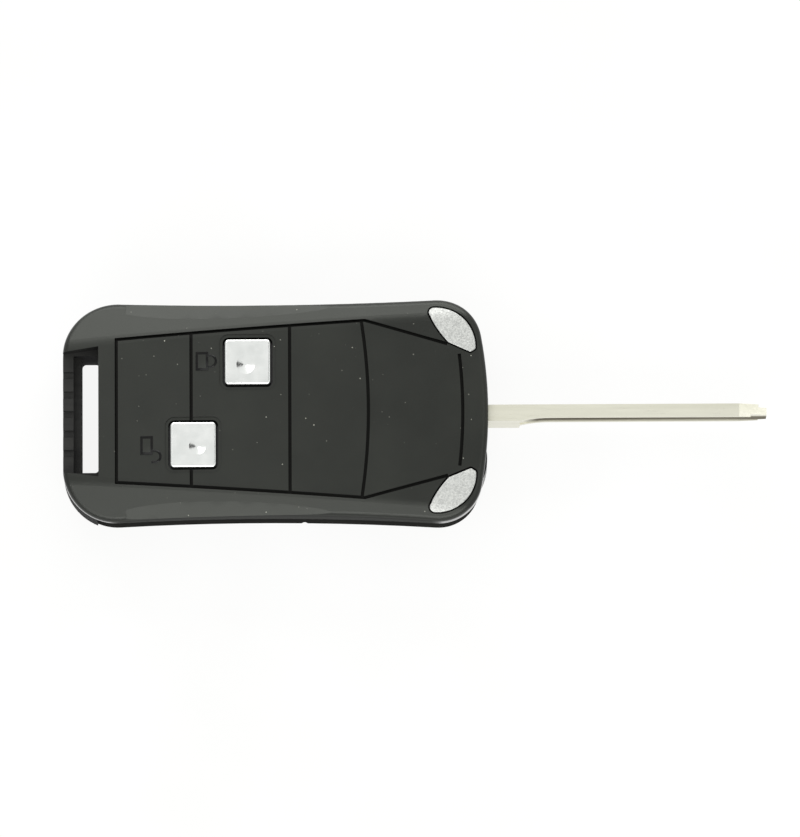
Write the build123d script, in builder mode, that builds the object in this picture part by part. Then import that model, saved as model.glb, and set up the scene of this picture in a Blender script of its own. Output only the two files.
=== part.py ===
from build123d import *
import os
from math import cos, radians, sin, tan

os.makedirs("parts", exist_ok=True)

# Flip key remote shell with its blade open. Millimetres.
# +X runs out along the open blade, +Y lies to the lock button's side, +Z out of the button face.
# The origin is the centre of the case's flat back.

# Case outline, seen from the button face
half_length = 32.4
ring_half_width = 17.3
waist_half_width = 16.2
waist_x = 1.0
blade_end_bow = 2.4
blade_half_width = 17.4
ring_corner_radius = 8.2
blade_corner_radius = 6.7

# Case height: the crowned front runs from the ring end over its highest line to the blade end
case_thickness = 15.0
ring_end_height = 12.4
crown_x = 4.0
blade_end_height = 12.6
split_height = 9.8
wall = 1.6
floor_thickness = 1.6
back_edge_radius = 3.2
front_edge_radius = 1.1
ridge_radius = 4.0

# Raised centre panel: its half width at the ring end, and the ridge's two corners
ridge_start_half = 10.4
panel_ring_inset = 8.2
panel_wide_x = 13.6
panel_wide_half = 13.6
hood_end_inset = 6.2
hood_end_half = 10.1
panel_cross_x = -12.8
panel_middle_x = 2.2
front_line_inset = 4.4
front_line_half = 8.6
front_line_bow = 0.5
windscreen_x = 13.1
windscreen_bow = 1.05
shoulder_slope = 20.0
groove_width = 0.5
groove_depth = 0.6
frame_width = 0.5
frame_depth = 0.18

# Finger scoops in both shoulders
scoop_start_x = -22.8
scoop_middle_x = -5.0
scoop_end_x = 11.8
scoop_axis_y = 21.2
scoop_axis_z = 24.0
scoop_start_radius = 13.2
scoop_middle_radius = 12.0
scoop_end_radius = 11.35

# Key-ring end
ring_slot_inset = 4.1
ring_slot_width = 2.7
ring_slot_length = 18.0
ring_slot_corner = 0.6
notch_outer_half = 8.65
notch_inner_half = 10.0
bar_step_inset = 1.6
bar_step_drop = 2.2
bar_rib_count = 5
bar_rib_pitch = 3.0
bar_rib_width = 1.1
bar_rib_depth = 0.5
bar_rib_length = 1.6

# Fold axis, hub and blade
pivot_x = 24.0
pivot_y = -7.0
hub_radius = 8.2
hub_clearance = 0.3
lift_clearance = 0.2
arm_end_inset = 0.1
arm_half_thickness = 2.3
blade_tip_x = 74.85
blade_width = 7.8
tang_thickness = 2.5
blade_thickness = 2.0
milling_start_x = 37.2
cutter_radius = 22.0
flute_width = 5.9
flute_depth = 0.45
flute_edge = 0.7
lip_depth = 0.33
tip_length = 4.2
tip_width = 4.4
tang_length = 5.2
tang_clearance = 0.05
tang_width = 5.2
pin_radius = 0.75
pin_x = 30.2
pin_length = 4.4
slot_end_gap = 0.4
slot_wall = 1.2
slot_gap = 0.5

# Release button, its collar in the back cover and the spring in its cup
collar_radius = 5.2
collar_height = 5.0
running_gap = 0.08
release_radius = 3.9
release_recess = 0.25
release_wall = 0.9
release_travel = 1.2
lug_reach = 6.0
lug_width = 1.8
lug_height = 1.3
lug_base = 1.9
spring_radius = 2.5
spring_wire_radius = 0.25
spring_pitch = 1.1
spigot_radius = 3.0
spigot_height = 2.8
hub_top_wall = 1.2
release_face = 1.2
release_chamfer = 0.3
lug_gap = 0.2
core_wall = 1.4
core_depth = 1.2

# Button caps, their windows and the pad under them
cap_size = 7.0
cap_corner = 0.6
cap_gap = 0.3
cap_rise = 0.5
cap_flange = 0.7
cap_flange_height = 0.6
cap_edge_radius = 0.35
lock_dimple_radius = 1.4
lock_dimple_x = -0.3
lock_dimple_y = -0.44
unlock_dimple_radius = 1.3
unlock_dimple_x = 0.65
unlock_dimple_y = -0.25
dimple_depth = 0.3
lock_x = -4.2
lock_y = 7.2
unlock_x = -12.5
unlock_y = -5.4
pad_half_length = 10.0
pad_half_width = 10.8
pad_x = -8.3
pad_y = 0.9
pad_sheet = 0.7
pad_height = 10.0
pad_post_radius = 0.7
pad_post_inset = 1.6
pad_post_root = 0.4
pad_corner = 1.5
dome_base_radius = 2.6
dome_top_radius = 1.8

# Corner inserts: tip, outer bow, end, heel, inner corner and inner bow, in from the blade end and the side
insert_corners = [(9.35, 1.85), (4.0, 3.1), (1.9, 8.0), (2.7, 8.5), (6.05, 7.05), (7.75, 4.95)]
insert_tip_radius = 0.8
insert_end_radius = 0.35
insert_depth = 1.2
insert_gap = 0.22
insert_sunk = 0.08
insert_edge_radius = 0.15
insert_pin_radius = 0.6
insert_pin_length = 0.9
insert_pin_inset_x = 5.1
insert_pin_inset_y = 4.8

# Screws and bosses
ring_screw_inset_x = 5.6
ring_screw_inset_y = 5.7
bay_screw = (-22.8, -8.6)
blade_screw = (18.6, 11.6)
screw_radius = 0.9
screw_head_radius = 1.6
screw_length = 11.0
screw_head_recess = 0.15
screw_head_height = 0.9
screw_clearance = 0.15
screw_slot_length = 1.8
screw_slot_width = 0.35
screw_slot_depth = 0.6
boss_radius = 2.3

# Pry notch in the lip under the blade slot
pry_x = 4.3
pry_radius = 0.6

# Board bay
bay_start_inset = 7.0
bay_end_x = 14.0
corner_bay_inset = 2.0
corner_bay_y = 4.1
chip_x = 7.5
chip_y = 8.5
chip_length = 11.4
chip_width = 3.2
chip_wall = 0.8
chip_height = 3.2
ledge_length = 2.4
ledge_width = 1.2
ledge_height = 5.2
ledge_start = 6.0
ledge_end = 8.0

panel_ring_x = panel_ring_inset - half_length
hood_end_x = half_length - hood_end_inset
front_line_x = half_length - front_line_inset
ring_slot_x = ring_slot_inset - half_length
bar_step_x = bar_step_inset - half_length
arm_end_x = half_length - arm_end_inset
insert_pin_x = half_length - insert_pin_inset_x
insert_pin_y = blade_half_width - insert_pin_inset_y
ring_screw = (ring_screw_inset_x - half_length, ring_half_width - ring_screw_inset_y)
screw_places = [ring_screw, bay_screw, blade_screw]
bay_start_x = bay_start_inset - half_length
corner_bay_end_x = half_length - corner_bay_inset
hub_base = floor_thickness + lift_clearance
hub_top = split_height - lift_clearance
blade_mid = (hub_base + hub_top) / 2
reach = arm_end_x - pivot_x
folded_y = 2 * pivot_y
slot_inner_y = folded_y + tang_thickness / 2 + slot_gap
folded_tip_x = 2 * pivot_x - blade_tip_x
slot_end_x = folded_tip_x - slot_end_gap
bay_side_y = slot_inner_y + slot_wall
arm_pocket_y = folded_y + arm_half_thickness + hub_clearance
far = 80.0
overrun = 4.0
shoulder_reach = 30.0
upright_limit = 0.02
edge_margin = 0.05


def crown_at(x):
    """Height of the crowned front above the back, at x, as a parabola through its three heights."""
    side = -half_length if x < crown_x else half_length
    end_height = ring_end_height if x < crown_x else blade_end_height
    return case_thickness - (case_thickness - end_height) * ((x - crown_x) / (side - crown_x)) ** 2


def case_outline(inset=0.0):
    """The case seen from the front, with a waist and a bowed blade end, or the same a wall inside it."""
    ring_corner = (inset - half_length, ring_half_width - inset)
    blade_corner = (half_length - blade_end_bow - inset, blade_half_width - inset)
    waist_half = waist_half_width - inset
    with BuildSketch() as outline:
        with BuildLine():
            ThreePointArc(ring_corner, (waist_x, waist_half), blade_corner)
            ThreePointArc(blade_corner, (half_length - inset, 0), (blade_corner[0], -blade_corner[1]))
            ThreePointArc((blade_corner[0], -blade_corner[1]), (waist_x, -waist_half),
                          (ring_corner[0], -ring_corner[1]))
            Line((ring_corner[0], -ring_corner[1]), ring_corner)
        make_face()
        fillet(outline.vertices().group_by(Axis.X)[0], ring_corner_radius - inset)
        fillet(outline.vertices().filter_by(lambda v: v.X > 0), blade_corner_radius - inset)
    return outline.sketch


def ridge_at(x):
    """Half width of the flat centre at x, between its two ridges."""
    share = (x + half_length) / (panel_wide_x + half_length)
    return ridge_start_half + share * (panel_wide_half - ridge_start_half)


def above_front(drop, ridge_rise):
    """Upright sketch of all above the crown line, lowered by drop and raised with the ridge's width."""
    ends = [-half_length - overrun, crown_x, half_length + overrun]
    line = [(x, crown_at(x) - drop + ridge_rise * ridge_at(x)) for x in ends]
    with BuildSketch(Plane.XZ) as region:
        with BuildLine():
            ThreePointArc(*line)
            Polyline(line[2], (ends[2], far), (ends[0], far), line[0])
        make_face()
    return region.sketch


def front_form(inset=0.0, drop=0.0, edge_radius=0.0):
    """The front cover's outer skin, or its hollow when inset and lowered."""
    tilt = radians(shoulder_slope)
    with BuildPart() as form:
        # A block wider than the case gets the crown, both shoulders and the soft ridges first
        with BuildSketch(Plane.XY.offset(split_height)):
            Rectangle(2 * (half_length + overrun), 2 * (ring_half_width + overrun))
        extrude(amount=case_thickness)
        extrude(above_front(drop, 0), amount=far, both=True, mode=Mode.SUBTRACT)
        for side in (1, -1):
            extrude(above_front(drop, tan(tilt)), amount=shoulder_reach,
                    dir=(0, side * cos(tilt), -sin(tilt)), mode=Mode.SUBTRACT)
        if edge_radius > 0:
            fillet(form.edges().sort_by(Axis.Z)[-2:], ridge_radius)
        with BuildSketch(Plane.XY.offset(split_height)):
            add(case_outline(inset))
        extrude(amount=case_thickness, mode=Mode.INTERSECT)
        if edge_radius > 0:
            rim = form.faces().filter_by(lambda f: abs(f.normal_at().Z) < upright_limit).edges()
            rim = rim.filter_by(lambda e: e.bounding_box().min.Z > split_height + edge_margin)
            rim = rim.filter_by(lambda e: e.bounding_box().size.X + e.bounding_box().size.Y > edge_margin)
            fillet(rim, edge_radius)
    return form.part


def shifted(shape, lift):
    """The same shape, lifted."""
    return Pos(0, 0, lift) * shape


def groove_lines():
    """The car-bonnet pattern of grooves on the centre panel."""
    half_ring = ridge_at(panel_ring_x)
    half_cross = ridge_at(panel_cross_x)
    half_middle = ridge_at(panel_middle_x)
    half_screen = ridge_at(windscreen_x)
    button_low = unlock_y - cap_size / 2 - cap_gap
    button_high = unlock_y + cap_size / 2 + cap_gap
    with BuildSketch() as lines:
        with BuildLine():
            Polyline((hood_end_x, hood_end_half), (panel_wide_x, panel_wide_half), (panel_ring_x, half_ring),
                     (panel_ring_x, -half_ring), (panel_wide_x, -panel_wide_half),
                     (hood_end_x, -hood_end_half))
        trace(line_width=groove_width)
        with BuildLine():
            Line((panel_cross_x, half_cross), (panel_cross_x, button_high))
            Line((panel_cross_x, button_low), (panel_cross_x, -half_cross))
            Line((panel_middle_x, half_middle), (panel_middle_x, -half_middle))
        trace(line_width=groove_width)
        with BuildLine():
            ThreePointArc((windscreen_x, half_screen), (windscreen_x + windscreen_bow, 0),
                          (windscreen_x, -half_screen))
        trace(line_width=groove_width)
        with BuildLine():
            ThreePointArc((front_line_x, front_line_half), (front_line_x + front_line_bow, 0),
                          (front_line_x, -front_line_half))
        trace(line_width=groove_width)
    return lines.sketch


def insert_outline(side, gap=0.0):
    """A corner trim seen from the front, or its pocket when a gap is given."""
    with BuildSketch() as outline:
        with BuildLine():
            places = [(half_length - x, side * (blade_half_width - y)) for x, y in insert_corners]
            tip, outer, end, heel, corner, inner = places
            ThreePointArc(tip, outer, end)
            Polyline(end, heel, corner)
            ThreePointArc(corner, inner, tip)
        make_face()
        fillet(outline.vertices().group_by(Axis.X)[0], insert_tip_radius)
        fillet(outline.vertices().sort_by(Axis.X)[-2:], insert_end_radius)
        if gap > 0:
            offset(amount=gap)
    return outline.sketch


def scoop(side):
    """Spindle whose flank leaves a lens-shaped finger scoop in one shoulder."""
    axis_y = side * scoop_axis_y
    with BuildPart() as spindle:
        with BuildSketch(Plane.XZ.offset(-axis_y)):
            with BuildLine():
                start = (scoop_start_x, scoop_axis_z - scoop_start_radius)
                middle = (scoop_middle_x, scoop_axis_z - scoop_middle_radius)
                end = (scoop_end_x, scoop_axis_z - scoop_end_radius)
                ThreePointArc(start, middle, end)
                Polyline(end, (scoop_end_x, scoop_axis_z), (scoop_start_x, scoop_axis_z), start)
            make_face()
        revolve(axis=Axis((0, axis_y, scoop_axis_z), (1, 0, 0)))
    return spindle.part


def cap_top(x):
    """Height of a button cap's flat top at x."""
    return crown_at(x) + cap_rise


def bay_plan():
    """The board bay and the pocket beside the hub, seen from the front."""
    with BuildSketch() as plan:
        with Locations(((bay_start_x + bay_end_x) / 2, (bay_side_y + far) / 2)):
            Rectangle(bay_end_x - bay_start_x, far - bay_side_y)
        with Locations(((bay_start_x + corner_bay_end_x) / 2, corner_bay_y + far / 2)):
            Rectangle(corner_bay_end_x - bay_start_x, far)
    return plan.sketch


def cap_outline(grow=0.0):
    """Square button outline with rounded corners."""
    with BuildSketch() as outline:
        RectangleRounded(cap_size + 2 * grow, cap_size + 2 * grow, cap_corner + grow)
    return outline.sketch


def hub_plan():
    """The hub's drum and the arm that holds the blade, seen from the front."""
    with BuildSketch() as plan:
        with Locations(pivot):
            Circle(hub_radius)
        with Locations((pivot_x + reach / 2, 0)):
            Rectangle(reach, 2 * arm_half_thickness)
        with Locations((pivot_x + reach / 2, pivot_y / 2)):
            Rectangle(reach / 2, abs(pivot_y))
    return plan.sketch


split_plane = Plane.XY.offset(split_height)
floor_plane = Plane.XY.offset(floor_thickness)
base_plane = Plane.XY
cap_places = [(lock_x, lock_y), (unlock_x, unlock_y)]
pivot = (pivot_x, pivot_y)
notch_end_x = ring_slot_x + ring_slot_width / 2
insert_floor = crown_at(insert_pin_x) - insert_depth
flange_height = crown_at(unlock_x - cap_size / 2 - cap_flange) - wall - cap_gap
post_reach_x = pad_half_length - pad_post_inset
post_reach_y = pad_half_width - pad_post_inset
pad_posts = [(pad_x + side * post_reach_x, pad_y - side * post_reach_y) for side in (1, -1)]
ledge_y = bay_side_y + ledge_width / 2
board_ledges = [(bay_start_x + ledge_start, ledge_y), (bay_end_x - ledge_end, ledge_y)]
outer_form = front_form(edge_radius=front_edge_radius)
inner_form = front_form(inset=wall, drop=wall)
sunk_form = shifted(outer_form, -groove_depth)
frame_form = shifted(outer_form, -frame_depth)

# Cutters for the front cover
with BuildPart() as groove_cutter:
    with BuildSketch(split_plane):
        add(groove_lines())
    extrude(amount=case_thickness)
    add(sunk_form, mode=Mode.SUBTRACT)

with BuildPart() as frame_cutter:
    for x, y in cap_places:
        with BuildSketch(split_plane):
            with Locations((x, y)):
                add(cap_outline(cap_gap + frame_width))
        extrude(amount=case_thickness)
    add(frame_form, mode=Mode.SUBTRACT)

with BuildPart() as front_hollow:
    with BuildSketch(split_plane):
        add(bay_plan())
    extrude(amount=case_thickness)
    add(inner_form, mode=Mode.INTERSECT)

with BuildPart() as front_bosses:
    with BuildSketch(split_plane):
        with Locations(screw_places):
            Circle(boss_radius)
    extrude(amount=case_thickness)
    add(inner_form, mode=Mode.INTERSECT)

# Front cover
with BuildPart() as front_cover:
    add(outer_form)
    for side in (1, -1):
        add(scoop(side), mode=Mode.SUBTRACT)
    add(groove_cutter.part, mode=Mode.SUBTRACT)
    add(frame_cutter.part, mode=Mode.SUBTRACT)
    add(front_hollow.part, mode=Mode.SUBTRACT)
    add(front_bosses.part)
    # Button windows
    with BuildSketch(split_plane):
        with Locations(cap_places):
            add(cap_outline(cap_gap))
    extrude(amount=case_thickness, mode=Mode.SUBTRACT)
    # Notch at the key-ring end
    with BuildSketch(split_plane):
        with BuildLine():
            mouth_x = -half_length - overrun
            Polyline((mouth_x, notch_outer_half), (notch_end_x, notch_inner_half),
                     (notch_end_x, -notch_inner_half), (mouth_x, -notch_outer_half), close=True)
        make_face()
    extrude(amount=case_thickness, mode=Mode.SUBTRACT)
    # Pockets for the corner inserts
    for side in (1, -1):
        with BuildSketch(Plane.XY.offset(insert_floor)):
            add(insert_outline(side, insert_gap))
        extrude(amount=case_thickness, mode=Mode.SUBTRACT)
        with BuildSketch(Plane.XY.offset(insert_floor)):
            with Locations((insert_pin_x, side * insert_pin_y)):
                Circle(insert_pin_radius + running_gap)
        extrude(amount=-insert_pin_length - lift_clearance, mode=Mode.SUBTRACT)
    # Bearing bore for the hub's spigot, with the boss cored out around it
    with BuildSketch(split_plane):
        with Locations(pivot):
            Circle(spigot_radius + running_gap)
    extrude(amount=spigot_height, mode=Mode.SUBTRACT)
    with BuildSketch(split_plane):
        with Locations(pivot):
            Circle(hub_radius - core_wall)
            Circle(spigot_radius + core_wall, mode=Mode.SUBTRACT)
    extrude(amount=core_depth, mode=Mode.SUBTRACT)
    # Pilot holes for the screws
    with BuildSketch(split_plane):
        with Locations(screw_places):
            Circle(screw_radius)
    extrude(amount=screw_length + screw_head_recess - split_height + lift_clearance, mode=Mode.SUBTRACT)
    # Posts that locate the button pad
    with BuildSketch(Plane.XY.offset(pad_height)):
        with Locations(*pad_posts):
            Circle(pad_post_radius)
    extrude(amount=case_thickness - wall + pad_post_root - pad_height)
front_cover.part.label = "front_cover"
export_step(front_cover.part, "parts/front_cover.step")

# Rear cover
with BuildPart() as rear_cover:
    with BuildSketch(base_plane):
        add(case_outline())
    extrude(amount=split_height)
    back_edges = rear_cover.edges().group_by(Axis.Z)[0]
    fillet(back_edges, back_edge_radius)
    # Board bay
    with BuildSketch(floor_plane) as bay:
        add(bay_plan())
        add(case_outline(wall), mode=Mode.INTERSECT)
    extrude(amount=split_height, mode=Mode.SUBTRACT)
    with BuildSketch(floor_plane):
        with Locations(screw_places):
            Circle(boss_radius)
    extrude(amount=split_height - floor_thickness)
    # Room for the hub, for the arm at both ends of its fold, and for the blade along the side
    with BuildSketch(floor_plane):
        with Locations(pivot):
            Circle(hub_radius + hub_clearance)
        with Locations((pivot_x + far / 2, arm_half_thickness + lift_clearance - far / 2)):
            Rectangle(far, far)
        with Locations((pivot_x - (reach + hub_clearance) / 2, arm_pocket_y - far / 2)):
            Rectangle(reach + hub_clearance, far)
        with Locations(((slot_end_x + pivot_x) / 2, slot_inner_y - far / 2)):
            Rectangle(pivot_x - slot_end_x, far)
    extrude(amount=split_height, mode=Mode.SUBTRACT)
    # Pry notch
    with BuildSketch(base_plane):
        with Locations((pry_x, -waist_half_width)):
            Circle(pry_radius)
    extrude(amount=split_height, mode=Mode.SUBTRACT)
    # Collar that the hub turns on, split by the release button's keyways
    with BuildSketch(base_plane):
        with Locations(pivot):
            Circle(collar_radius)
    extrude(amount=floor_thickness + collar_height)
    with BuildSketch(base_plane):
        with Locations(pivot):
            Circle(release_radius + running_gap)
    extrude(amount=split_height, mode=Mode.SUBTRACT)
    with BuildSketch(floor_plane):
        with Locations(pivot):
            Rectangle(2 * collar_radius + overrun, lug_width + 2 * lug_gap)
    extrude(amount=split_height, mode=Mode.SUBTRACT)
    # Key-ring slot, the bar's inner step and its grip ribs
    with BuildSketch(base_plane):
        with Locations((ring_slot_x, 0)):
            RectangleRounded(ring_slot_width, ring_slot_length, ring_slot_corner)
    extrude(amount=split_height, mode=Mode.SUBTRACT)
    with BuildSketch(Plane.XY.offset(split_height - bar_step_drop)):
        with Locations(((bar_step_x + ring_slot_x) / 2, 0)):
            Rectangle(ring_slot_x - bar_step_x, ring_slot_length)
    extrude(amount=split_height, mode=Mode.SUBTRACT)
    with BuildSketch(Plane.XY.offset(split_height - bar_rib_depth)):
        with Locations((bar_step_x - bar_rib_length / 2, 0)):
            with GridLocations(bar_rib_length, bar_rib_pitch, 1, bar_rib_count):
                Rectangle(bar_rib_length, bar_rib_width)
    extrude(amount=split_height, mode=Mode.SUBTRACT)
    # Screw holes, countersunk in the back
    with BuildSketch(base_plane):
        with Locations(screw_places):
            Circle(screw_radius + screw_clearance)
    extrude(amount=split_height, mode=Mode.SUBTRACT)
    for x, y in screw_places:
        with BuildSketch(base_plane):
            with Locations((x, y)):
                Circle(screw_head_radius + screw_clearance)
        extrude(amount=screw_head_recess + screw_head_height + screw_clearance, mode=Mode.SUBTRACT)
    # Pocket walls for the transponder chip
    with BuildSketch(floor_plane):
        with Locations((chip_x, chip_y)):
            Rectangle(chip_length + 2 * chip_wall, chip_width + 2 * chip_wall)
            Rectangle(chip_length, chip_width, mode=Mode.SUBTRACT)
    extrude(amount=chip_height)
    # Ledges that carry the circuit board
    with BuildSketch(floor_plane):
        with Locations(*board_ledges):
            Rectangle(ledge_length, ledge_width)
    extrude(amount=ledge_height)
rear_cover.part.label = "rear_cover"
export_step(rear_cover.part, "parts/rear_cover.step")

# Corner inserts, flush with the front cover
for side, name in ((1, "left_corner_insert"), (-1, "right_corner_insert")):
    with BuildPart() as insert:
        with BuildSketch(Plane.XY.offset(insert_floor)):
            add(insert_outline(side))
        extrude(amount=case_thickness)
        add(shifted(outer_form, -insert_sunk), mode=Mode.INTERSECT)
        fillet(insert.edges().filter_by(lambda e: e.bounding_box().min.Z > insert_floor + insert_sunk),
               insert_edge_radius)
        with BuildSketch(Plane.XY.offset(insert_floor)):
            with Locations((insert_pin_x, side * insert_pin_y)):
                Circle(insert_pin_radius)
        extrude(amount=-insert_pin_length)
    insert.part.label = name
    export_step(insert.part, f"parts/{name}.step")

# Button caps, each with a flange under its window and a dimple on top
for name, x, y, dimple_radius, dimple_x, dimple_y in (
    ("lock_button", lock_x, lock_y, lock_dimple_radius, lock_dimple_x, lock_dimple_y),
    ("unlock_button", unlock_x, unlock_y, unlock_dimple_radius, unlock_dimple_x, unlock_dimple_y),
):
    top = cap_top(x)
    with BuildPart() as cap:
        with BuildSketch(Plane.XY.offset(flange_height)):
            with Locations((x, y)):
                add(cap_outline())
        extrude(amount=top - flange_height)
        fillet(cap.edges().group_by(Axis.Z)[-1], cap_edge_radius)
        with BuildSketch(Plane.XY.offset(flange_height - cap_flange_height)):
            with Locations((x, y)):
                add(cap_outline(cap_flange))
        extrude(amount=cap_flange_height)
        with Locations((x + dimple_x, y + dimple_y, top)):
            Cone(0, dimple_radius, dimple_depth, align=(Align.CENTER, Align.CENTER, Align.MAX),
                 mode=Mode.SUBTRACT)
    cap.part.label = name
    export_step(cap.part, f"parts/{name}.step")

# Silicone pad with a dome under each cap, on the front cover's posts
with BuildPart() as button_pad:
    with BuildSketch(Plane.XY.offset(pad_height)):
        with Locations((pad_x, pad_y)):
            RectangleRounded(2 * pad_half_length, 2 * pad_half_width, pad_corner)
        with Locations(*pad_posts):
            Circle(pad_post_radius + running_gap, mode=Mode.SUBTRACT)
    extrude(amount=pad_sheet)
    dome_height = flange_height - cap_flange_height - pad_height - pad_sheet
    for x, y in cap_places:
        with Locations((x, y, pad_height + pad_sheet)):
            Cone(dome_base_radius, dome_top_radius, dome_height,
                 align=(Align.CENTER, Align.CENTER, Align.MIN))
button_pad.part.label = "button_pad"
export_step(button_pad.part, "parts/button_pad.step")

# Hub: a drum on the collar, an arm with the tang's slot, and a spigot in the front cover
with BuildPart() as blade_hub:
    with BuildSketch(Plane.XY.offset(hub_base)):
        add(hub_plan())
    extrude(amount=hub_top - hub_base)
    with BuildSketch(Plane.XY.offset(hub_top)):
        with Locations(pivot):
            Circle(spigot_radius)
    extrude(amount=spigot_height - lift_clearance)
    with BuildSketch(base_plane):
        with Locations(pivot):
            Circle(lug_reach + lug_gap)
    extrude(amount=lug_base + lug_height + release_travel + lift_clearance, mode=Mode.SUBTRACT)
    with BuildSketch(base_plane):
        with Locations(pivot):
            Circle(collar_radius + running_gap)
    extrude(amount=floor_thickness + collar_height + lift_clearance, mode=Mode.SUBTRACT)
    with BuildSketch(base_plane):
        with Locations(pivot):
            Circle(release_radius + hub_clearance)
    extrude(amount=hub_top - hub_top_wall, mode=Mode.SUBTRACT)
    # Slot for the tang, open to the end face
    with BuildSketch(Plane.XY.offset(blade_mid - tang_width / 2 - tang_clearance)):
        with Locations((arm_end_x + (overrun - tang_length) / 2, 0)):
            Rectangle(tang_length + overrun, tang_thickness + 2 * tang_clearance)
    extrude(amount=tang_width + 2 * tang_clearance, mode=Mode.SUBTRACT)
    # Cross hole for the roll pin, through the arm only
    with Locations(Plane(origin=(pin_x, 0, blade_mid), z_dir=(0, 1, 0))):
        Cylinder(pin_radius, 2 * (arm_half_thickness + lift_clearance), mode=Mode.SUBTRACT)
blade_hub.part.label = "blade_hub"
export_step(blade_hub.part, "parts/blade_hub.step")

# Key blade: an uncut blank on edge, with a milled flank, a flute and a bevelled tip
with BuildPart() as key_blade:
    with BuildSketch(Plane.XZ.offset(-tang_thickness / 2)):
        with BuildLine():
            low = blade_mid - blade_width / 2
            high = blade_mid + blade_width / 2
            shoulder_x = blade_tip_x - tip_length
            Polyline((arm_end_x, low), (shoulder_x, low), (blade_tip_x, blade_mid - tip_width / 2),
                     (blade_tip_x, blade_mid + tip_width / 2), (shoulder_x, high), (arm_end_x, high),
                     close=True)
        make_face()
        with Locations((arm_end_x - tang_length / 2, blade_mid)):
            Rectangle(tang_length, tang_width)
    extrude(amount=tang_thickness)
    # Near flank milled thinner, with a lip along the back edge and a flute over it, running out where the
    # cutter left the blank
    cut_depth = tang_thickness - blade_thickness
    flank = -tang_thickness / 2
    inner = flank + cut_depth
    milled_x = milling_start_x + (cutter_radius ** 2 - (cutter_radius - cut_depth) ** 2) ** 0.5
    beyond_x = blade_tip_x + overrun
    lip_high = high - flute_edge - flute_width
    flute_high = high - flute_edge
    near_cuts = ((0, low, high), (lip_depth, low, lip_high), (flute_depth, lip_high, flute_high))
    for depth, start, end in near_cuts:
        with BuildSketch(Plane.XY.offset(start)):
            with BuildLine():
                TangentArc((milled_x, inner + depth), (milling_start_x, flank + depth), tangent=(-1, 0))
                Polyline((milled_x, inner + depth), (beyond_x, inner + depth), (beyond_x, flank - overrun),
                         (milling_start_x, flank - overrun), (milling_start_x, flank + depth))
            make_face()
        extrude(amount=end - start, mode=Mode.SUBTRACT)
    # Flute in the far flank
    with Locations(((milled_x + beyond_x) / 2, -flank, low + flute_edge + flute_width / 2)):
        Box(beyond_x - milled_x, 2 * flute_depth, flute_width, mode=Mode.SUBTRACT)
    with Locations(Plane(origin=(pin_x, 0, blade_mid), z_dir=(0, 1, 0))):
        Cylinder(pin_radius, far, mode=Mode.SUBTRACT)
key_blade.part.label = "key_blade"
export_step(key_blade.part, "parts/key_blade.step")

# Roll pin through the arm and the tang
with BuildPart() as blade_pin:
    with Locations(Plane(origin=(pin_x, 0, blade_mid), z_dir=(0, 1, 0))):
        Cylinder(pin_radius, pin_length)
        Cylinder(pin_radius / 2, pin_length, mode=Mode.SUBTRACT)
blade_pin.part.label = "blade_pin"
export_step(blade_pin.part, "parts/blade_pin.step")

# Release button: a cup with two lugs, flush in the back
with BuildPart() as release_button:
    with BuildSketch(Plane.XY.offset(release_recess)):
        with Locations(pivot):
            Circle(release_radius)
    extrude(amount=floor_thickness + collar_height - release_recess)
    chamfer(release_button.edges().group_by(Axis.Z)[0], release_chamfer)
    with BuildSketch(Plane.XY.offset(lug_base)):
        with Locations(pivot):
            Rectangle(2 * lug_reach, lug_width)
    extrude(amount=lug_height)
    with BuildSketch(Plane.XY.offset(release_recess + release_face)):
        with Locations(pivot):
            Circle(release_radius - release_wall)
    extrude(amount=split_height, mode=Mode.SUBTRACT)
release_button.part.label = "release_button"
export_step(release_button.part, "parts/release_button.step")

# Coil spring between the cup's floor and the hub's top wall
with BuildPart() as flip_spring:
    coil_low = release_recess + release_face + spring_wire_radius
    coil_high = hub_top - hub_top_wall - spring_wire_radius
    with BuildLine(Plane.XY.offset(coil_low)) as coil:
        Helix(spring_pitch, coil_high - coil_low, spring_radius, center=(pivot_x, pivot_y, 0))
    with BuildSketch(Plane(origin=coil.edges()[0] @ 0, z_dir=coil.edges()[0] % 0)):
        Circle(spring_wire_radius)
    sweep(path=coil.edges()[0], is_frenet=True)
flip_spring.part.label = "flip_spring"
export_step(flip_spring.part, "parts/flip_spring.step")

# Countersunk screws with a cross recess
with BuildPart() as case_screws:
    with BuildSketch(Plane.XZ) as screw_section:
        with BuildLine():
            Polyline((0, screw_head_recess), (screw_head_radius, screw_head_recess),
                     (screw_radius, screw_head_recess + screw_head_height),
                     (screw_radius, screw_head_recess + screw_length - screw_radius),
                     (0, screw_head_recess + screw_length), close=True)
        make_face()
    revolve(axis=Axis.Z)
    with BuildSketch(Plane.XY.offset(screw_head_recess)):
        Rectangle(screw_slot_length, screw_slot_width)
        Rectangle(screw_slot_width, screw_slot_length)
    extrude(amount=screw_slot_depth, mode=Mode.SUBTRACT)
one_screw = case_screws.part
with BuildPart() as case_screws:
    with Locations([(x, y, 0) for x, y in screw_places]):
        add(one_screw)
case_screws.part.label = "case_screws"
export_step(case_screws.part, "parts/case_screws.step")
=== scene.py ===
import math

import bpy
import bmesh
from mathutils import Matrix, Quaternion, Vector


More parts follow.
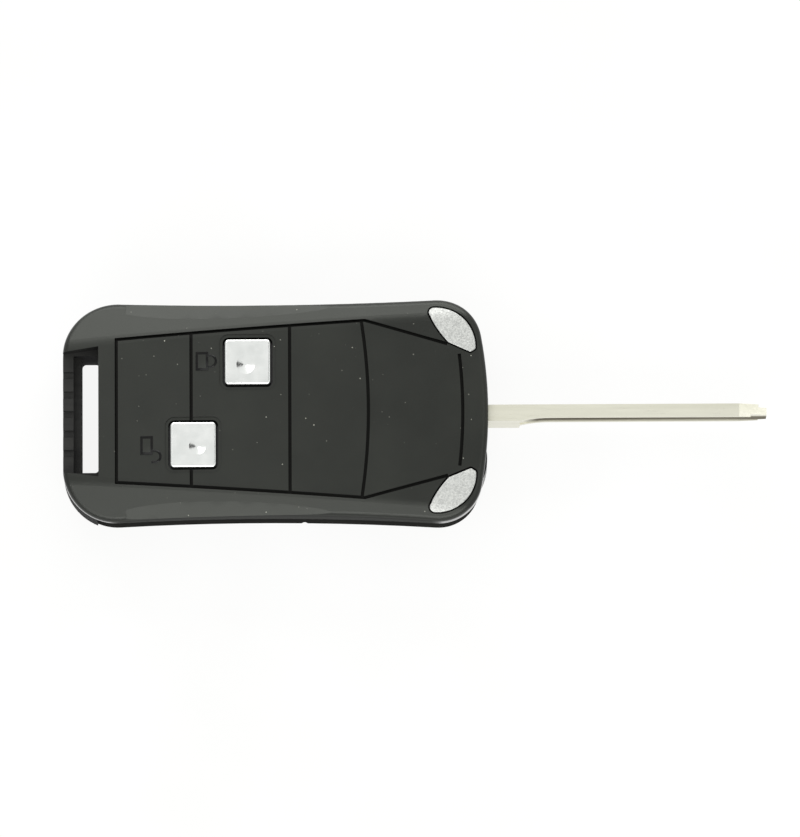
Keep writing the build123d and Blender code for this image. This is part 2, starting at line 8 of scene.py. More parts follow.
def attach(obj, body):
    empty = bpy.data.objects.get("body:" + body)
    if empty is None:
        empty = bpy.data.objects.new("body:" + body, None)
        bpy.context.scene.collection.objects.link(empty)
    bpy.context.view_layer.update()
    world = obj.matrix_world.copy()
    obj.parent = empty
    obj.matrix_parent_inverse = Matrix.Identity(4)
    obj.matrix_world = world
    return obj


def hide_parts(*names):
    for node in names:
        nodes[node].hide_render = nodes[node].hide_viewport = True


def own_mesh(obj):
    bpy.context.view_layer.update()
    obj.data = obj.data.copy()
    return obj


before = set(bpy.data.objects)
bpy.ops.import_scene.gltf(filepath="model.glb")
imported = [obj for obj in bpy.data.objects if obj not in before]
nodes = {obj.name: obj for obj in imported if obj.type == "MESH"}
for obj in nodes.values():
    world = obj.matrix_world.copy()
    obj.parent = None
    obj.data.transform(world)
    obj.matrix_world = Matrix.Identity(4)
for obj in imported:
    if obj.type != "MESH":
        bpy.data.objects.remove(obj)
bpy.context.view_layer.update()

MM = 0.001

# The photograph's frame: its scale on the front cover, and the point of the object at its centre
PHOTO_HEIGHT_PX = 837
PX_PER_MM = 6.58
CENTRE = Vector((18.94, -1.58, 15.0)) * MM
CAMERA_ELEVATION = math.radians(82.0)
CAMERA_DISTANCE = 2.0
CAMERA_ROLL = math.radians(-0.28)
CLIP_START = 0.05
CLIP_END = 20.0
SENSOR = 36.0

# The crowned front cover in millimetres: its height at the ring end, the crown and the blade end
RING_END_X = -36.4
CROWN_X = 4.0
BLADE_END_X = 36.4
RING_END_HEIGHT = 11.797
CROWN_HEIGHT = 15.0
BLADE_END_HEIGHT = 11.877

# The two ridges: half width between them at two places along the case, and the fall of the shoulders
RIDGE_START_X = -32.4
RIDGE_START_HALF = 10.4
RIDGE_END_X = 13.6
RIDGE_END_HALF = 13.6
SHOULDER_FALL = math.tan(math.radians(20.0))

# Where painted shade darkens the grooves and the trims' edges, in millimetres below the skin, and the
# grooves' reach past a ridge
GROOVE_SHADE_FROM = 0.22
GROOVE_SHADE_TO = 0.55
GROOVE_REACH = 0.35
TRIM_SHADE_FROM = 0.14
TRIM_SHADE_TO = 0.2

# A face is a wall where its normal rises by less than the first, and not where by more than the second
WALL_RISE = 0.15
NO_WALL_RISE = 0.5
# Upright walls are painted this near black as shade
WALL_SHADE_BLACK = "#060606"
WALL_ROUGHNESS = 0.95

# The front cover's walls are rubbed smooth at its corners: millimetres from the middle, start and full
WORN_FROM_X = 23.6
WORN_TO_X = 25.6
WORN_ROUGHNESS = 0.05

# Specks of dust on the front cover in millimetres: the widest, and how far apart they lie
DUST_WIDTH = 0.216
DUST_SPACING = 1.2

# Plating covers what is above these heights in millimetres: the caps' tops, and all of the release button;
# below them the caps are painted black as the shade in the gaps around them
CAP_SHADE_BELOW = 13.8
RELEASE_SHADE_BELOW = -1.0

# The near flute of the blade in millimetres: its mouth, its floor, its start, and the painted shade along it
FLUTE_MOUTH_Y = -0.7
FLUTE_FLOOR_Y = -0.4
FLUTE_START_X = 37.0
FLUTE_SHADE_MIDDLE_Z = 4.9
FLUTE_SHADE_FULL = 1.0
FLUTE_SHADE_REACH = 2.6

# Padlock marks moulded in beside the buttons: centre, body and shackle in millimetres
LOCK_MARK = (-11.15, 7.4)
UNLOCK_MARK = (-19.6, -5.4)
MARK_WIDTH = 2.8
MARK_LENGTH = 1.9
MARK_CORNER = 0.3
MARK_STROKE = 0.36
MARK_PROUD = 0.1
MARK_SUNK = 0.2
SHACKLE_RADIUS = 0.85
SHACKLE_WIRE = 0.18
SHACKLE_LEG = 0.55

# The share of a shackle's leg that is outside the body, and how upright a normal is on a face that looks up
SHACKLE_LEG_SHOWN = 0.6
FACES_UP = 0.9

# Loose corners nearer than this are merged, and edges that turn by more than this stay sharp
MERGE_DISTANCE = 0.001 * MM
SMOOTH_ANGLE = math.radians(35)

# The studio in metres: what the lights point at, the light table a hair below the case, the black card
LIGHTS_AIM = (0.015, 0.0, 0.01)
FLOOR_SIZE = 1.2
FLOOR_DROP = 0.02 * MM
CARD_PLACE = (0.43, 0.12, 0.91)
CARD_RADIUS = 0.16

# The studio's dome: sine of the elevation from which it is white, and its light at the horizon
DOME_WHITE_FROM = 0.5
HORIZON_LIGHT = 0.4


def to_linear(hex_colour):
    """An sRGB hex colour as linear RGBA."""
    channels = [int(hex_colour[i:i + 2], 16) / 255 for i in (1, 3, 5)]
    return (*[c / 12.92 if c <= 0.04045 else ((c + 0.055) / 1.055) ** 2.4 for c in channels], 1.0)


def in_use(sockets, key):
    """The socket of that name or number, of those that the node's settings leave in use."""
    usable = [socket for socket in sockets if socket.enabled]
    if isinstance(key, int):
        return usable[key]
    return next(socket for socket in usable if socket.name == key)


def add_node(material, kind, inputs=None, stops=None, **settings):
    """Adds a shader node with its settings, a colour ramp's stops and its inputs.

    An input is a number, a vector, a hex colour, an output to link, or a node, which means its first output.
    """
    tree = material.node_tree
    node = tree.nodes.new("ShaderNode" + kind)
    for name, value in settings.items():
        setattr(node, name, value)
    for number, (position, hex_colour) in enumerate((stops or {}).items()):
        node.color_ramp.elements[number].position = position
        node.color_ramp.elements[number].color = to_linear(hex_colour)
    for key, value in (inputs or {}).items():
        if isinstance(value, bpy.types.Node):
            value = in_use(value.outputs, 0)
        if isinstance(value, bpy.types.NodeSocket):
            tree.links.new(value, in_use(node.inputs, key))
        else:
            in_use(node.inputs, key).default_value = to_linear(value) if isinstance(value, str) else value
    return node


def new_material(name):
    """An empty material, and the piece's own Object coordinates in it."""
    material = bpy.data.materials.new(name)
    material.use_nodes = True
    material.node_tree.nodes.clear()
    return material, add_node(material, "TexCoord").outputs["Object"]


def surfaced(material, shader_inputs):
    """The material with its shader on its output."""
    shader = add_node(material, "BsdfPrincipled", shader_inputs)
    add_node(material, "OutputMaterial", {"Surface": shader})
    return material


def crown_circle():
    """The crown's arc as a circle in millimetres: centre along the case, centre height and radius."""
    (ax, az), (bx, bz), (cx, cz) = ((RING_END_X, RING_END_HEIGHT), (CROWN_X, CROWN_HEIGHT),
                                    (BLADE_END_X, BLADE_END_HEIGHT))
    double_area = 2 * (ax * (bz - cz) + bx * (cz - az) + cx * (az - bz))
    ends = (ax * ax + az * az, bx * bx + bz * bz, cx * cx + cz * cz)
    x = (ends[0] * (bz - cz) + ends[1] * (cz - az) + ends[2] * (az - bz)) / double_area
    z = (ends[0] * (cx - bx) + ends[1] * (ax - cx) + ends[2] * (bx - ax)) / double_area
    return x, z, math.hypot(ax - x, az - z)


def crown_height(x):
    """Height of the front cover at x, in millimetres."""
    middle_x, middle_z, radius = crown_circle()
    return middle_z + math.sqrt(radius ** 2 - (x - middle_x) ** 2)


def crown_slope(x):
    """Angle at which the front cover rises at x."""
    middle_x, _, radius = crown_circle()
    return math.asin((middle_x - x) / radius)


def skin_depth(material, place):
    """Depth below the front cover's crown and shoulders, and the distance out from the nearer ridge."""
    middle_x, middle_z, radius = crown_circle()
    where = add_node(material, "SeparateXYZ", {"Vector": place})
    along = add_node(material, "Math", {0: where.outputs["X"], 1: middle_x * MM}, operation="SUBTRACT")
    squared = add_node(material, "Math", {0: along, 1: along}, operation="MULTIPLY")
    rest = add_node(material, "Math", {0: (radius * MM) ** 2, 1: squared}, operation="SUBTRACT")
    arc = add_node(material, "Math", {0: rest}, operation="SQRT")
    crown = add_node(material, "Math", {0: arc, 1: middle_z * MM}, operation="ADD")
    # The ridges open out evenly along the case, and the shoulders fall away outside them
    grow = (RIDGE_END_HALF - RIDGE_START_HALF) / (RIDGE_END_X - RIDGE_START_X)
    start = (RIDGE_START_HALF - grow * RIDGE_START_X) * MM
    half = add_node(material, "Math", {0: where.outputs["X"], 1: grow, 2: start}, operation="MULTIPLY_ADD")
    side = add_node(material, "Math", {0: where.outputs["Y"]}, operation="ABSOLUTE")
    beyond = add_node(material, "Math", {0: side, 1: half}, operation="SUBTRACT")
    outside = add_node(material, "Math", {0: beyond, 1: 0.0}, operation="MAXIMUM")
    skin = add_node(material, "Math", {0: outside, 1: -SHOULDER_FALL, 2: crown}, operation="MULTIPLY_ADD")
    depth = add_node(material, "Math", {0: skin, 1: where.outputs["Z"]}, operation="SUBTRACT")
    return depth, beyond


def groove_shade_mask(material, place):
    """One inside the panel's grooves and the button windows, where shade is painted."""
    depth, beyond = skin_depth(material, place)
    deep = add_node(material, "MapRange", {"Value": depth, "From Min": GROOVE_SHADE_FROM * MM,
                                           "From Max": GROOVE_SHADE_TO * MM})
    within = add_node(material, "Math", {0: beyond, 1: GROOVE_REACH * MM}, operation="LESS_THAN")
    return add_node(material, "Math", {0: deep, 1: within}, operation="MULTIPLY")


def wall_grain_and_shade_mask(material):
    """One on upright walls, where the mould has a coarser grain and where shade is painted, and zero on faces
    that look up or down.
    """
    normal = add_node(material, "NewGeometry").outputs["Normal"]
    facing = add_node(material, "SeparateXYZ", {"Vector": normal})
    rise = add_node(material, "Math", {0: facing.outputs["Z"]}, operation="ABSOLUTE")
    return add_node(material, "MapRange", {"Value": rise, "From Min": WALL_RISE, "From Max": NO_WALL_RISE,
                                           "To Min": 1.0, "To Max": 0.0})


def abs_moulded_satin():
    """ABS from a spark-eroded mould: a fine even grain, satin where it slopes, with specks of pale dust."""
    material, place = new_material("abs_moulded_satin")
    # Handling leaves faint cloudy patches about 9 mm wide
    cloud = add_node(material, "TexNoise", {"Vector": place, "Scale": 1 / (9 * MM), "Detail": 4.0})
    plastic = add_node(material, "ValToRGB", {"Fac": cloud}, {0.3: "#0a0b09", 0.7: "#121310"})
    # Each speck of dust has its own width and strength, and most are faint
    dust = add_node(material, "TexVoronoi", {"Vector": place, "Scale": 1 / (DUST_SPACING * MM)})
    luck = add_node(material, "SeparateColor", {"Color": dust.outputs["Color"]})
    size = add_node(material, "Math", {0: luck.outputs["Green"], 1: DUST_WIDTH / 2 / DUST_SPACING},
                    operation="MULTIPLY")
    speck = add_node(material, "Math", {0: dust.outputs["Distance"], 1: size}, operation="LESS_THAN")
    faint = add_node(material, "Math", {0: luck.outputs["Red"], 1: 2.0}, operation="POWER")
    amount = add_node(material, "Math", {0: speck, 1: faint}, operation="MULTIPLY")
    dusty = add_node(material, "Mix", {"Factor": amount, "A": plastic, "B": "#9b9b90"}, data_type="RGBA")
    # The grooves are cut by sharp ribs of the mould; they and the upright walls are painted near black as
    # shade, and the grooves' reflection is dimmed as painted shade
    groove = groove_shade_mask(material, place)
    wall = wall_grain_and_shade_mask(material)
    wall_shaded = add_node(material, "Mix", {"Factor": wall, "A": dusty, "B": WALL_SHADE_BLACK}, data_type="RGBA")
    colour = add_node(material, "Mix", {"Factor": groove, "A": wall_shaded, "B": "#0a0a09"}, data_type="RGBA")
    groove_shade_tint = add_node(material, "Mix", {"Factor": groove, "A": "#fbfff6", "B": "#8c8c88"}, data_type="RGBA")
    # Walls are rough but for the corners, which a pocket has rubbed smooth
    along = add_node(material, "SeparateXYZ", {"Vector": place})
    far = add_node(material, "Math", {0: along.outputs["X"]}, operation="ABSOLUTE")
    worn = add_node(material, "MapRange", {"Value": far,
                                           "From Min": WORN_FROM_X * MM, "From Max": WORN_TO_X * MM,
                                           "To Min": WALL_ROUGHNESS, "To Max": WORN_ROUGHNESS})
    satin = add_node(material, "MapRange", {"Value": cloud, "To Min": 0.36, "To Max": 0.46})
    rough = add_node(material, "Mix", {"Factor": wall, "A": satin, "B": worn})
    # The spark grain is 0.1 mm; drawn 0.2 mm wide so that it shows
    grain = add_node(material, "TexNoise", {"Vector": place, "Scale": 1 / (0.2 * MM), "Detail": 3.0})
    bump = add_node(material, "Bump", {"Height": grain, "Strength": 0.3, "Distance": 0.02 * MM})
    return surfaced(material, {"IOR": 1.5, "Specular IOR Level": 0.42, "Specular Tint": groove_shade_tint,
                               "Base Color": colour, "Roughness": rough, "Normal": bump})


def abs_moulded_matt():
    """ABS from a coarser spark-eroded mould: the back is matt black, with faint scuffs from tables."""
    material, place = new_material("abs_moulded_matt")
    # Scuffs are about 7 mm long and a sixth as wide
    stretched = add_node(material, "Mapping", {"Vector": place, "Scale": (1.0, 6.0, 6.0)})
    scuff = add_node(material, "TexNoise", {"Vector": stretched, "Scale": 1 / (7 * MM), "Detail": 6.0})
    plastic = add_node(material, "ValToRGB", {"Fac": scuff}, {0.35: "#11110f", 0.75: "#1e1e1b"})
    wall = wall_grain_and_shade_mask(material)
    # The upright walls are painted near black as shade
    colour = add_node(material, "Mix", {"Factor": wall, "A": plastic, "B": WALL_SHADE_BLACK}, data_type="RGBA")
    matt = add_node(material, "MapRange", {"Value": scuff, "To Min": 0.62, "To Max": 0.5})
    rough = add_node(material, "Mix", {"Factor": wall, "A": matt, "B": WALL_ROUGHNESS})
    # The grain is 0.25 mm wide
    grain = add_node(material, "TexNoise", {"Vector": place, "Scale": 1 / (0.25 * MM), "Detail": 3.0})
    bump = add_node(material, "Bump", {"Height": grain, "Strength": 0.5, "Distance": 0.02 * MM})
    return surfaced(material, {"IOR": 1.5, "Specular IOR Level": 0.3, "Base Color": colour,
                               "Roughness": rough, "Normal": bump})


def abs_polished_shade_dark():
    """ABS from a polished spot of the mould: the marks lack the panel's grain, and their colour is painted
    darker as shade along their outlines.
    """
    material, place = new_material("abs_polished_shade_dark")
    # Wear comes in patches about 0.8 mm wide
    wear = add_node(material, "TexNoise", {"Vector": place, "Scale": 1 / (0.8 * MM), "Detail": 4.0})
    # The colour is painted shade, darker than the panel
    colour = add_node(material, "ValToRGB", {"Fac": wear}, {0.35: "#050505", 0.7: "#0d0d0c"})
    rough = add_node(material, "MapRange", {"Value": wear, "To Min": 0.1, "To Max": 0.25})
    return surfaced(material, {"IOR": 1.5, "Specular IOR Level": 0.2,
                               "Base Color": colour, "Roughness": rough})


def lacquer_silver_flake():
    """Silver lacquer over plastic: aluminium flakes lie at many angles, so it looks granular."""
    material, place = new_material("lacquer_silver_flake")
    # Flakes are 0.05 mm; drawn 0.18 mm wide so that they show
    flake = add_node(material, "TexVoronoi", {"Vector": place, "Scale": 1 / (0.18 * MM)})
    luck = add_node(material, "SeparateColor", {"Color": flake.outputs["Color"]})
    silver = add_node(material, "ValToRGB", {"Fac": luck.outputs["Red"]}, {0.0: "#9c9d9a", 1.0: "#bcbdb9"})
    # Painted shade: the lacquer turns black over the edges, as the shade in the gap around the insert
    depth, _ = skin_depth(material, place)
    edge = add_node(material, "MapRange", {"Value": depth, "From Min": TRIM_SHADE_FROM * MM,
                                           "From Max": TRIM_SHADE_TO * MM})
    colour = add_node(material, "Mix", {"Factor": edge, "A": silver, "B": "#0b0b0a"}, data_type="RGBA")
    rough = add_node(material, "MapRange", {"Value": luck.outputs["Green"], "To Min": 0.45, "To Max": 0.65})
    bump = add_node(material, "Bump", {"Height": luck.outputs["Blue"], "Strength": 0.2,
                                       "Distance": 0.02 * MM})
    return surfaced(material, {"Metallic": 0.55, "Coat Weight": 0.3, "Coat Roughness": 0.2,
                               "Base Color": colour, "Roughness": rough, "Normal": bump})


def plated_abs_bright(name, shade_below):
    """Nickel and chrome plated on ABS: bright and slightly wavy, and below a height painted black and not
    metallic as the shade in the gap around a cap.
    """
    material, place = new_material(name)
    # The moulding under the plating has waves 2.5 mm long, and handling dulls spots 0.3 mm wide
    wave = add_node(material, "TexNoise", {"Vector": place, "Scale": 1 / (2.5 * MM), "Detail": 2.0})
    fine = add_node(material, "TexNoise", {"Vector": place, "Scale": 1 / (0.3 * MM), "Detail": 3.0})
    height = add_node(material, "SeparateXYZ", {"Vector": place}).outputs["Z"]
    # Below the height the colour is painted shade
    plated = add_node(material, "Math", {0: height, 1: shade_below * MM}, operation="GREATER_THAN")
    metal = add_node(material, "ValToRGB", {"Fac": wave}, {0.3: "#e3e5e2", 0.7: "#f2f3f0"})
    colour = add_node(material, "Mix", {"Factor": plated, "A": "#0c0c0c", "B": metal}, data_type="RGBA")
    rough = add_node(material, "MapRange", {"Value": fine, "To Min": 0.12, "To Max": 0.26})
    bump = add_node(material, "Bump", {"Height": wave, "Strength": 0.3, "Distance": 0.05 * MM})
    return surfaced(material, {"Base Color": colour, "Metallic": plated, "Roughness": rough, "Normal": bump})


def nickel_silver_milled():
    """Nickel silver rolled and milled lengthwise: warm grey, fine cutter lines, painted shade in the flute.
    """
    material, place = new_material("nickel_silver_milled")
    stretched = add_node(material, "Mapping", {"Vector": place, "Scale": (0.04, 1.0, 1.0)})
    # Cutter lines 0.12 mm apart; drawn 0.2 mm apart so that they show
    lines = add_node(material, "TexNoise", {"Vector": stretched, "Scale": 1 / (0.2 * MM), "Detail": 4.0})
    # Rolling leaves patches 1.5 mm wide
    patch = add_node(material, "TexNoise", {"Vector": stretched, "Scale": 1 / (1.5 * MM), "Detail": 3.0})
    metal = add_node(material, "ValToRGB", {"Fac": patch}, {0.3: "#d8d6c5", 0.7: "#e4e2d3"})
    # Painted shade lies in a ragged band along the near flute: dark, dull and hardly metallic
    where = add_node(material, "SeparateXYZ", {"Vector": place})
    sunk = add_node(material, "MapRange", {"Value": where.outputs["Y"], "From Min": FLUTE_MOUTH_Y * MM,
                                           "From Max": FLUTE_FLOOR_Y * MM})
    near = add_node(material, "Math", {0: where.outputs["Y"], 1: 0.0}, operation="LESS_THAN")
    beyond = add_node(material, "Math", {0: where.outputs["X"], 1: FLUTE_START_X * MM},
                      operation="GREATER_THAN")
    off = add_node(material, "Math", {0: where.outputs["Z"], 1: FLUTE_SHADE_MIDDLE_Z * MM}, operation="SUBTRACT")
    away = add_node(material, "Math", {0: off}, operation="ABSOLUTE")
    band = add_node(material, "MapRange", {"Value": away,
                                           "From Min": FLUTE_SHADE_FULL * MM, "From Max": FLUTE_SHADE_REACH * MM,
                                           "To Min": 1.0, "To Max": 0.0})
    ragged = add_node(material, "MapRange", {"Value": patch, "To Min": 0.4, "To Max": 1.5})
    flute_shade = band
    for share in (sunk, near, beyond, ragged):
        flute_shade = add_node(material, "Math", {0: flute_shade, 1: share}, operation="MULTIPLY")
    colour = add_node(material, "Mix", {"Factor": flute_shade, "A": metal, "B": "#3a3219"}, data_type="RGBA")
    metallic = add_node(material, "Mix", {"Factor": flute_shade, "A": 1.0, "B": 0.1})
    milled = add_node(material, "MapRange", {"Value": lines, "To Min": 0.2, "To Max": 0.42})
    rough = add_node(material, "Mix", {"Factor": flute_shade, "A": milled, "B": 0.9})
    bump = add_node(material, "Bump", {"Height": lines, "Strength": 0.3, "Distance": 0.02 * MM})
    return surfaced(material, {"Base Color": colour, "Metallic": metallic,
                               "Roughness": rough, "Normal": bump})


def acetal_moulded():
    """Acetal moulded smooth: black, waxy, with rub marks 2 mm wide where it turns in the case."""
    material, place = new_material("acetal_moulded")
    rub = add_node(material, "TexNoise", {"Vector": place, "Scale": 1 / (2 * MM), "Detail": 5.0})
    colour = add_node(material, "ValToRGB", {"Fac": rub}, {0.35: "#0f0f0f", 0.7: "#1c1c1b"})
    rough = add_node(material, "MapRange", {"Value": rub, "To Min": 0.25, "To Max": 0.42})
    return surfaced(material, {"IOR": 1.48, "Base Color": colour, "Roughness": rough})


def steel_zinc_plated():
    """Screws and pin in zinc-plated steel: grey, lightly mottled by crystals 0.6 mm wide."""
    material, place = new_material("steel_zinc_plated")
    mottle = add_node(material, "TexNoise", {"Vector": place, "Scale": 1 / (0.6 * MM), "Detail": 4.0})
    colour = add_node(material, "ValToRGB", {"Fac": mottle}, {0.3: "#6f7072", 0.7: "#a5a6a8"})
    rough = add_node(material, "MapRange", {"Value": mottle, "To Min": 0.25, "To Max": 0.45})
    return surfaced(material, {"Metallic": 1.0, "Base Color": colour, "Roughness": rough})


def steel_drawn_wire():
    """Spring wire drawn through a die: bright, with a fine unevenness 0.3 mm wide."""
    material, place = new_material("steel_drawn_wire")
    drawn = add_node(material, "TexNoise", {"Vector": place, "Scale": 1 / (0.3 * MM), "Detail": 3.0})
    colour = add_node(material, "ValToRGB", {"Fac": drawn}, {0.3: "#7e7f82", 0.7: "#b4b5b7"})
    rough = add_node(material, "MapRange", {"Value": drawn, "To Min": 0.18, "To Max": 0.35})
    return surfaced(material, {"Metallic": 1.0, "Base Color": colour, "Roughness": rough})


def silicone_moulded():
    """Silicone pressed in a matte mould: soft grey-black, with dust that clings to it in 0.8 mm patches."""
    material, place = new_material("silicone_moulded")
    dust = add_node(material, "TexNoise", {"Vector": place, "Scale": 1 / (0.8 * MM), "Detail": 6.0})
    colour = add_node(material, "ValToRGB", {"Fac": dust}, {0.4: "#1b1b1c", 0.8: "#2c2c2c"})
    rough = add_node(material, "MapRange", {"Value": dust, "To Min": 0.6, "To Max": 0.8})
    return surfaced(material, {"IOR": 1.41, "Sheen Weight": 0.1, "Base Color": colour, "Roughness": rough})


def acrylic_opal_lit():
    """Opal acrylic of a light table: white light comes up through it evenly, with the faintest cloudiness."""
    material, place = new_material("acrylic_opal_lit")
    cloud = add_node(material, "TexNoise", {"Vector": place, "Scale": 1 / (40 * MM), "Detail": 3.0})
    white = add_node(material, "ValToRGB", {"Fac": cloud}, {0.2: "#fbfbfa", 0.8: "#ffffff"})
    grey = add_node(material, "ValToRGB", {"Fac": cloud}, {0.2: "#424241", 0.8: "#464645"})
    return surfaced(material, {"Roughness": 0.6, "Specular IOR Level": 0.1, "Emission Strength": 0.92,
                               "Base Color": grey, "Emission Color": white})


def card_black():
    """Black studio card: matt paper, with the faintest mottle, 20 mm wide."""
    material, place = new_material("card_black")
    mottle = add_node(material, "TexNoise", {"Vector": place, "Scale": 1 / (20 * MM), "Detail": 3.0})
    colour = add_node(material, "ValToRGB", {"Fac": mottle}, {0.3: "#020202", 0.7: "#060606"})
    return surfaced(material, {"Roughness": 0.9, "Specular IOR Level": 0.0, "Base Color": colour})


def deselect():
    """Nothing is selected, so an operator acts only on what is made next."""
    bpy.ops.object.select_all(action="DESELECT")


def padlock_mark(name, place, shackle_shift):
    """A padlock moulded proud of the cover, its shackle pointing along the blade."""
    deselect()
    thickness = MARK_PROUD + MARK_SUNK
    bpy.ops.mesh.primitive_cube_add(size=1, scale=(MARK_LENGTH * MM, MARK_WIDTH * MM, thickness * MM))
    body = bpy.context.object
    bpy.ops.object.transform_apply(location=False, rotation=False, scale=True)
    bpy.ops.object.mode_set(mode="EDIT")
    mesh = bmesh.from_edit_mesh(body.data)
    for edge in mesh.edges:
        edge.select_set(abs(edge.verts[0].co.z - edge.verts[1].co.z) > thickness * MM / 2)
    bmesh.update_edit_mesh(body.data)
    bpy.ops.mesh.bevel(offset=MARK_CORNER * MM, segments=4, affect="EDGES")
    # The middle of the body is sunk and keeps the panel's grain
    mesh = bmesh.from_edit_mesh(body.data)
    for face in mesh.faces:
        face.select_set(face.normal.z > FACES_UP)
    bpy.ops.mesh.inset(thickness=MARK_STROKE * MM, depth=-MARK_PROUD * MM)
    body.data.materials.append(polished_shade_plastic)
    body.data.materials.append(satin_plastic)
    for face in mesh.faces:
        face.material_index = int(face.select)
    bmesh.update_edit_mesh(body.data)
    bpy.ops.object.mode_set(mode="OBJECT")
    deselect()
    # Shackle: half a ring with two legs drawn out of its cut ends
    bpy.ops.mesh.primitive_torus_add(major_segments=32, minor_segments=10, major_radius=SHACKLE_RADIUS * MM,
                                     minor_radius=SHACKLE_WIRE * MM)
    shackle = bpy.context.object
    shackle.data.materials.append(polished_shade_plastic)
    bpy.ops.object.mode_set(mode="EDIT")
    bpy.ops.mesh.select_all(action="SELECT")
    bpy.ops.mesh.bisect(plane_co=(0, 0, 0), plane_no=(1, 0, 0), clear_inner=True)
    mesh = bmesh.from_edit_mesh(shackle.data)
    for edge in mesh.edges:
        edge.select_set(edge.is_boundary)
    bmesh.update_edit_mesh(shackle.data)
    bpy.ops.mesh.extrude_region_move(TRANSFORM_OT_translate={"value": (-SHACKLE_LEG * MM, 0, 0)})
    bpy.ops.mesh.edge_face_add()
    bpy.ops.mesh.select_all(action="SELECT")
    bpy.ops.mesh.normals_make_consistent(inside=False)
    bpy.ops.object.mode_set(mode="OBJECT")
    shackle.location = ((MARK_LENGTH / 2 + SHACKLE_LEG * SHACKLE_LEG_SHOWN) * MM, shackle_shift * MM, 0)
    bpy.ops.object.transform_apply(location=True, rotation=True, scale=True)
    # Joined, tilted with the cover and set into it
    deselect()
    body.select_set(True)
    shackle.select_set(True)
    bpy.context.view_layer.objects.active = body
    bpy.ops.object.join()
    centre = crown_height(place[0]) + MARK_PROUD - thickness / 2
    body.rotation_euler = (0, -crown_slope(place[0]), 0)
    body.location = (place[0] * MM, place[1] * MM, centre * MM)
    bpy.ops.object.transform_apply(location=True, rotation=True, scale=True)
    bpy.ops.object.shade_smooth_by_angle(angle=SMOOTH_ANGLE)
    body.name = name
    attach(body, "case")


def coil_spring():
    """The flip spring as a smooth-shaded piece of its own in the case, with the release button under it."""
    deselect()
    coil = bpy.data.objects.new("coil_spring", nodes["flip_spring"].data.copy())
    bpy.context.scene.collection.objects.link(coil)
    coil.select_set(True)
    bpy.context.view_layer.objects.active = coil
    bpy.ops.object.mode_set(mode="EDIT")
    bpy.ops.mesh.select_all(action="SELECT")
    bpy.ops.mesh.remove_doubles(threshold=MERGE_DISTANCE)
    bpy.ops.object.mode_set(mode="OBJECT")
    bpy.ops.object.shade_smooth_by_angle(angle=SMOOTH_ANGLE)
    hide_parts("flip_spring")
    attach(coil, "case")
    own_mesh(coil)


def soft_box(name, place, size, power):
    """A soft studio light, its place and size in metres and its power in watts, turned to the object."""
    light = bpy.data.lights.new(name, "AREA")
    light.shape = "RECTANGLE"
    light.size, light.size_y = size
    light.energy = power
    lamp = bpy.data.objects.new(name, light)
    bpy.context.scene.collection.objects.link(lamp)
    lamp.location = place
    lamp.rotation_euler = (Vector(LIGHTS_AIM) - Vector(place)).to_track_quat("-Z", "Y").to_euler()


def light_table():
    """The lit table under the key."""
    deselect()
    bpy.ops.mesh.primitive_plane_add(size=FLOOR_SIZE, location=(0, 0, -FLOOR_DROP))
    floor = bpy.context.object
    floor.name = "light_table"
    floor.data.materials.append(acrylic_opal_lit())


def black_card():
    """A card beside the camera, seen only in reflections: it gives each button's dimple its dark wedge."""
    deselect()
    bpy.ops.mesh.primitive_circle_add(vertices=48, radius=CARD_RADIUS, fill_type="NGON", location=CARD_PLACE)
    card = bpy.context.object
    card.name = "black_card"
    card.rotation_euler = (-Vector(CARD_PLACE)).to_track_quat("Z", "Y").to_euler()
    card.visible_camera = False
    card.visible_shadow = False
    card.visible_diffuse = False
    card.data.materials.append(card_black())


def studio_dome():
    """The studio's light from all around: white overhead and dimmer towards the horizon."""
    world = bpy.data.worlds.new("studio")
    bpy.context.scene.world = world
    world.use_nodes = True
    world.node_tree.nodes.clear()
    ray = add_node(world, "SeparateXYZ", {"Vector": add_node(world, "TexCoord").outputs["Generated"]})
    light = add_node(world, "MapRange", {"Value": ray.outputs["Z"],
                                         "From Min": 0.0, "From Max": DOME_WHITE_FROM,
                                         "To Min": HORIZON_LIGHT, "To Max": 1.0})
    dome = add_node(world, "Background", {"Color": "#f4f5f5", "Strength": light})
    add_node(world, "OutputWorld", {"Surface": dome})


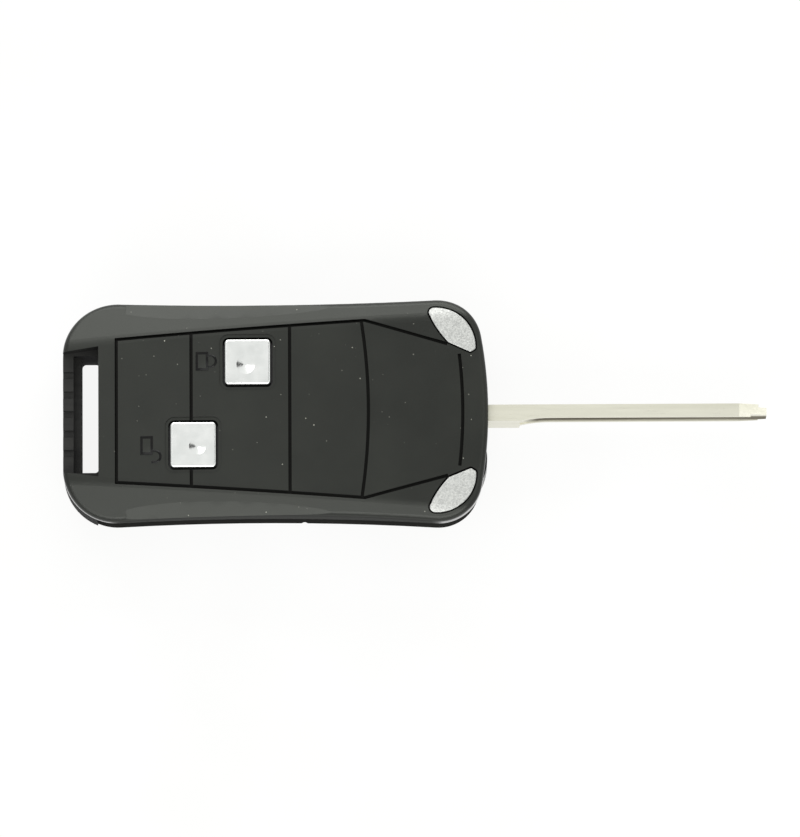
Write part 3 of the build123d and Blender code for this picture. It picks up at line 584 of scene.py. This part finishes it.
def photo_camera():
    """Above the near long side, far off with a long lens, as in the photograph."""
    data = bpy.data.cameras.new("camera")
    camera = bpy.data.objects.new("camera", data)
    bpy.context.scene.collection.objects.link(camera)
    bpy.context.scene.camera = camera
    back = Vector((0, -math.cos(CAMERA_ELEVATION), math.sin(CAMERA_ELEVATION)))
    camera.location = CENTRE + back * CAMERA_DISTANCE
    aim = (-back).to_track_quat("-Z", "Y")
    camera.rotation_euler = (aim @ Quaternion((0, 0, 1), CAMERA_ROLL)).to_euler()
    data.sensor_width = SENSOR
    data.lens = SENSOR * PX_PER_MM * (CAMERA_DISTANCE / MM) / PHOTO_HEIGHT_PX
    data.clip_start = CLIP_START
    data.clip_end = CLIP_END


# Finishes of the CAD pieces
satin_plastic = abs_moulded_satin()
polished_shade_plastic = abs_polished_shade_dark()
silver_lacquer = lacquer_silver_flake()
cap_plating = plated_abs_bright("plated_abs_cap", CAP_SHADE_BELOW)
zinc_steel = steel_zinc_plated()
finishes = {
    "front_cover": satin_plastic,
    "rear_cover": abs_moulded_matt(),
    "left_corner_insert": silver_lacquer,
    "right_corner_insert": silver_lacquer,
    "lock_button": cap_plating,
    "unlock_button": cap_plating,
    "release_button": plated_abs_bright("plated_abs_release", RELEASE_SHADE_BELOW),
    "key_blade": nickel_silver_milled(),
    "blade_hub": acetal_moulded(),
    "blade_pin": zinc_steel,
    "case_screws": zinc_steel,
    "flip_spring": steel_drawn_wire(),
    "button_pad": silicone_moulded(),
}
for name, material in finishes.items():
    nodes[name].data.materials.clear()
    nodes[name].data.materials.append(material)

# Pieces of the scene's own: the open padlock's shackle stands on one leg beside its body
padlock_mark("lock_mark", LOCK_MARK, 0.0)
padlock_mark("unlock_mark", UNLOCK_MARK, -SHACKLE_RADIUS * 2)
coil_spring()

# Studio: a light at each long side, one beyond the blade and one that the buttons' dimples catch
light_table()
soft_box("light_near_side", place=(0.0, -0.82, 0.74), size=(1.4, 0.6), power=10.0)
soft_box("light_far_side", place=(0.0, 0.97, 0.52), size=(1.4, 0.7), power=13.0)
soft_box("light_blade_end", place=(1.0, 0.0, 1.0), size=(0.4, 0.5), power=0.72)
soft_box("light_dimple", place=(-0.3, 0.42, 0.86), size=(0.4, 0.4), power=0.64)
black_card()
studio_dome()
photo_camera()
bpy.context.scene.view_settings.view_transform = "Standard"

bpy.context.view_layer.update()
